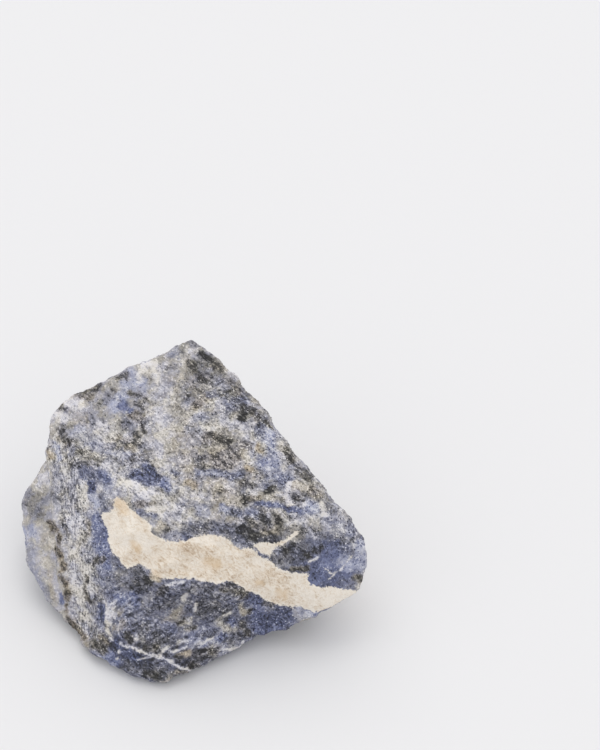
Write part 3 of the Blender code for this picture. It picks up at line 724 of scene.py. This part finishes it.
# Dark and pale minerals meet along torn edges, because each breaks off around whole grains.
TEAR_MM = 0.70
TEAR_REACH = 2.1
tear = add_node(tree, "ShaderNodeTexNoise", None,
                {"Vector": bedding_turn.outputs[0], "Scale": 1 / TEAR_MM, "Detail": 5.0, "Roughness": 0.72,
                 "Distortion": 0.6})
dark_torn = add_node(tree, "ShaderNodeMath", {"operation": "MULTIPLY_ADD"},
                     {0: tear.outputs["Fac"], 1: TEAR_REACH, 2: layer_at["dark"]})
dark_mask = add_node(tree, "ShaderNodeMapRange", {"interpolation_type": "SMOOTHSTEP"},
                     {"Value": dark_torn.outputs[0], "From Min": 1.41, "From Max": 1.71,
                      "To Min": 0.0, "To Max": -0.34})
pale_torn = add_node(tree, "ShaderNodeMath", {"operation": "MULTIPLY_ADD"},
                     {0: tear.outputs["Fac"], 1: -TEAR_REACH, 2: layer_at["pale"]})
pale_mask = add_node(tree, "ShaderNodeMapRange", {"interpolation_type": "SMOOTHSTEP"},
                     {"Value": pale_torn.outputs[0], "From Min": -0.69, "From Max": -0.39,
                      "To Min": 0.0, "To Max": 0.26})
dark_and_pale = add_node(tree, "ShaderNodeMath", {"operation": "ADD"},
                         {0: dark_mask.outputs[0], 1: pale_mask.outputs[0]})
mineral_tone = add_node(tree, "ShaderNodeMath", {"operation": "ADD"},
                        {0: layer_at["tone"], 1: dark_and_pale.outputs[0]})
rock_tone = add_node(tree, "ShaderNodeMath", {"operation": "ADD"},
                     {0: mineral_tone.outputs[0], 1: grain_tone.outputs[0]}).outputs[0]

# The feldspar ground drifts between a cool lilac grey and a warm olive grey over 2 to 4 mm. A Mix node
# takes its two colours at the sockets 6 and 7 and gives the mixed one at its output 2.
DRIFT_MM = 3.6
FIRST_COLOUR = 6
SECOND_COLOUR = 7
MIXED = 2
drift = add_node(tree, "ShaderNodeTexNoise", None,
                 {"Vector": mm, "Scale": 1 / DRIFT_MM, "Detail": 2.0, "Roughness": 0.5})
drift_grains = add_node(tree, "ShaderNodeMath", {"operation": "MULTIPLY_ADD"},
                        {0: coarse_tone.outputs["Green"], 1: 0.08, 2: drift.outputs["Fac"]})
warm = add_node(tree, "ShaderNodeMapRange", {"interpolation_type": "SMOOTHSTEP"},
                {"Value": drift_grains.outputs[0], "From Min": 0.42, "From Max": 0.66})
cool_ramp = add_node(tree, "ShaderNodeValToRGB", None, {"Fac": rock_tone},
                     ((0.0, "#26262b"), (0.25, "#55565f"), (0.5, "#8e8e98"),
                      (0.75, "#bcbbc5"), (1.0, "#e4e2e6")))
warm_ramp = add_node(tree, "ShaderNodeValToRGB", None, {"Fac": rock_tone},
                     ((0.0, "#262523"), (0.25, "#56544e"), (0.5, "#918d85"),
                      (0.75, "#c1bcb3"), (1.0, "#e8e3dc")))
grey = add_node(tree, "ShaderNodeMix", {"data_type": "RGBA"},
                {"Factor": warm.outputs[0], FIRST_COLOUR: cool_ramp.outputs[0],
                 SECOND_COLOUR: warm_ramp.outputs[0]})

# Blue sodalite and rusty crust lie over that ground, and their edges follow the fine grains.
blue_ramp = add_node(tree, "ShaderNodeValToRGB", None, {"Fac": rock_tone},
                     ((0.0, "#20222e"), (0.25, "#434966"), (0.5, "#727a9e"),
                      (0.75, "#abb0c8"), (1.0, "#dadce6")))
ochre_ramp = add_node(tree, "ShaderNodeValToRGB", None, {"Fac": rock_tone},
                      ((0.0, "#2a2620"), (0.25, "#5f5545"), (0.5, "#9a8b74"),
                       (0.75, "#cfbfa6"), (1.0, "#f0e4d2")))
blue_rag = add_node(tree, "ShaderNodeMath", {"operation": "MULTIPLY_ADD"},
                    {0: fine_tone.outputs["Green"], 1: 0.14, 2: layer_at["blue"]})
blue_mask = add_node(tree, "ShaderNodeMapRange", None,
                     {"Value": blue_rag.outputs[0], "From Min": 0.07, "From Max": 1.07})
ochre_rag = add_node(tree, "ShaderNodeMath", {"operation": "MULTIPLY_ADD"},
                     {0: fine_tone.outputs["Blue"], 1: 0.16, 2: layer_at["ochre"]})
ochre_mask = add_node(tree, "ShaderNodeMapRange", None,
                      {"Value": ochre_rag.outputs[0], "From Min": 0.10, "From Max": 1.05})
grey_blue = add_node(tree, "ShaderNodeMix", {"data_type": "RGBA"},
                     {"Factor": blue_mask.outputs[0], FIRST_COLOUR: grey.outputs[MIXED],
                      SECOND_COLOUR: blue_ramp.outputs[0]})
rock_colour = add_node(tree, "ShaderNodeMix", {"data_type": "RGBA"},
                       {"Factor": ochre_mask.outputs[0], FIRST_COLOUR: grey_blue.outputs[MIXED],
                        SECOND_COLOUR: ochre_ramp.outputs[0]})

# The vein is sugary feldspar: ivory, with fine fibres, soft rusty clouds and a frosted white rim.
CLOUD_MM = 3.5
CLOUD_TONE = 0.55
FIBRE_MM = 0.75
FIBRE_TONE = 1.35
FROST_TONE = 0.14
MILK_TONE = 0.16
cloud = add_node(tree, "ShaderNodeTexNoise", None, {"Vector": mm, "Scale": 1 / CLOUD_MM, "Detail": 3.0})
fibre = add_node(tree, "ShaderNodeTexNoise", None,
                 {"Vector": bedding_turn.outputs[0], "Scale": 1 / FIBRE_MM, "Detail": 5.0, "Roughness": 0.7,
                  "Distortion": 1.2})
vein_cloud = add_node(tree, "ShaderNodeMath", {"operation": "MULTIPLY_ADD"},
                      {0: cloud.outputs["Fac"], 1: CLOUD_TONE, 2: -0.43})
vein_fibre = add_node(tree, "ShaderNodeMath", {"operation": "MULTIPLY_ADD"},
                      {0: fibre.outputs["Fac"], 1: FIBRE_TONE, 2: vein_cloud.outputs[0]})
frost = add_node(tree, "ShaderNodeMapRange", {"interpolation_type": "SMOOTHSTEP"},
                 {"Value": layer_at["vein"], "From Min": 0.9, "From Max": 0.0,
                  "To Min": 0.0, "To Max": FROST_TONE})
vein_frost = add_node(tree, "ShaderNodeMath", {"operation": "ADD"},
                      {0: vein_fibre.outputs[0], 1: frost.outputs[0]})
vein_milky = add_node(tree, "ShaderNodeMath", {"operation": "MULTIPLY_ADD"},
                      {0: layer_at["milky"], 1: MILK_TONE, 2: vein_frost.outputs[0]})
vein_tone = add_node(tree, "ShaderNodeMath", {"operation": "MULTIPLY_ADD"},
                     {0: grain_mix.outputs[0], 1: 0.45, 2: vein_milky.outputs[0]})
vein_ramp = add_node(tree, "ShaderNodeValToRGB", None, {"Fac": vein_tone.outputs[0]},
                     ((0.22, "#b1987c"), (0.38, "#d8c6b0"), (0.52, "#e9ddcc"), (0.72, "#f5ede1")))
vein_rusty = add_node(tree, "ShaderNodeMath", {"operation": "MULTIPLY"}, {0: layer_at["ochre"], 1: 0.55})
vein_colour = add_node(tree, "ShaderNodeMix", {"data_type": "RGBA"},
                       {"Factor": vein_rusty.outputs[0], FIRST_COLOUR: vein_ramp.outputs[0],
                        SECOND_COLOUR: linear("#d9b98c")})
vein_grit = add_node(tree, "ShaderNodeMath", {"operation": "MULTIPLY_ADD"},
                     {0: grain_mix.outputs[0], 1: 0.9, 2: layer_at["vein"]})
vein_rag = add_node(tree, "ShaderNodeMath", {"operation": "MULTIPLY_ADD"},
                    {0: tear.outputs["Fac"], 1: -2.0, 2: vein_grit.outputs[0]})
vein_mask = add_node(tree, "ShaderNodeMapRange", {"interpolation_type": "SMOOTHSTEP"},
                     {"Value": vein_rag.outputs[0], "From Min": -1.14, "From Max": -0.86})
colour = add_node(tree, "ShaderNodeMix", {"data_type": "RGBA"},
                  {"Factor": vein_mask.outputs[0], FIRST_COLOUR: rock_colour.outputs[MIXED],
                   SECOND_COLOUR: vein_colour.outputs[MIXED]})

# Each grain tips its own way, which breaks up the light. The bump is far shallower than a grain is wide.
BUMP_MM = 0.25
SODALITE_IOR = 1.48
height = add_node(tree, "ShaderNodeMath", {"operation": "MULTIPLY_ADD"},
                  {0: coarse.outputs["Distance"], 1: -0.5, 2: fine.outputs["Distance"]})
bump = add_node(tree, "ShaderNodeBump", None,
                {"Strength": 0.6, "Distance": BUMP_MM / 1000, "Height": height.outputs[0]})
gleam = add_node(tree, "ShaderNodeMapRange", None,
                 {"Value": fine_tone.outputs["Green"], "From Min": 0.0, "From Max": 1.0,
                  "To Min": 0.42, "To Max": 0.75})
shader = add_node(tree, "ShaderNodeBsdfPrincipled", None,
                  {"Base Color": colour.outputs[MIXED], "Roughness": gleam.outputs[0],
                   "Normal": bump.outputs[0]})
shader.inputs["IOR"].default_value = SODALITE_IOR
add_node(tree, "ShaderNodeOutputMaterial", None, {"Surface": shader.outputs[0]})
stone_mesh.materials.append(rock)

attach(stone, "root")
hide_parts("rough_sodalite")


# The floor, a plain sheet of matt white paper, 8 m wide, that runs out of the picture on every side.
# The stone rests on it by its own weight.
FLOOR_HALF = 4.0
floor_mesh = bpy.data.meshes.new("floor")
floor_mesh.from_pydata([(-FLOOR_HALF, -FLOOR_HALF, 0), (FLOOR_HALF, -FLOOR_HALF, 0),
                        (FLOOR_HALF, FLOOR_HALF, 0), (-FLOOR_HALF, FLOOR_HALF, 0)], [], [(0, 1, 2, 3)])
floor = bpy.data.objects.new("floor", floor_mesh)
bpy.context.scene.collection.objects.link(floor)
paper = bpy.data.materials.new("matt_white_paper")
paper.use_nodes = True
paper_shader = paper.node_tree.nodes["Principled BSDF"]
paper_shader.inputs["Base Color"].default_value = linear("#e9e9ea")
paper_shader.inputs["Roughness"].default_value = 0.9
paper_shader.inputs["Specular IOR Level"].default_value = 0.2
floor_mesh.materials.append(paper)


# The light, an evenly bright white room with one broad veiled window behind the stone and to its left.
# The window spans 60 degrees, so the shadow beside the stone has no edge.
ROOM_STRENGTH = 0.84
WINDOW_STRENGTH = 0.93
WINDOW_FROM = (-0.20, 0.68, 1.0)
WINDOW_WIDTH = math.radians(60)
world = bpy.data.worlds.new("bright room")
world.use_nodes = True
world.node_tree.nodes["Background"].inputs["Color"].default_value = linear("#fdfdff")
world.node_tree.nodes["Background"].inputs["Strength"].default_value = ROOM_STRENGTH
bpy.context.scene.world = world
window = bpy.data.lights.new("veiled window", "SUN")
window.angle = WINDOW_WIDTH
window.energy = WINDOW_STRENGTH
window.color = linear("#fffdf9")[:3]
window_spot = bpy.data.objects.new("veiled window", window)
window_spot.rotation_euler = Vector(WINDOW_FROM).to_track_quat("Z", "Y").to_euler()
bpy.context.scene.collection.objects.link(window_spot)
bpy.context.scene.view_settings.view_transform = "Standard"
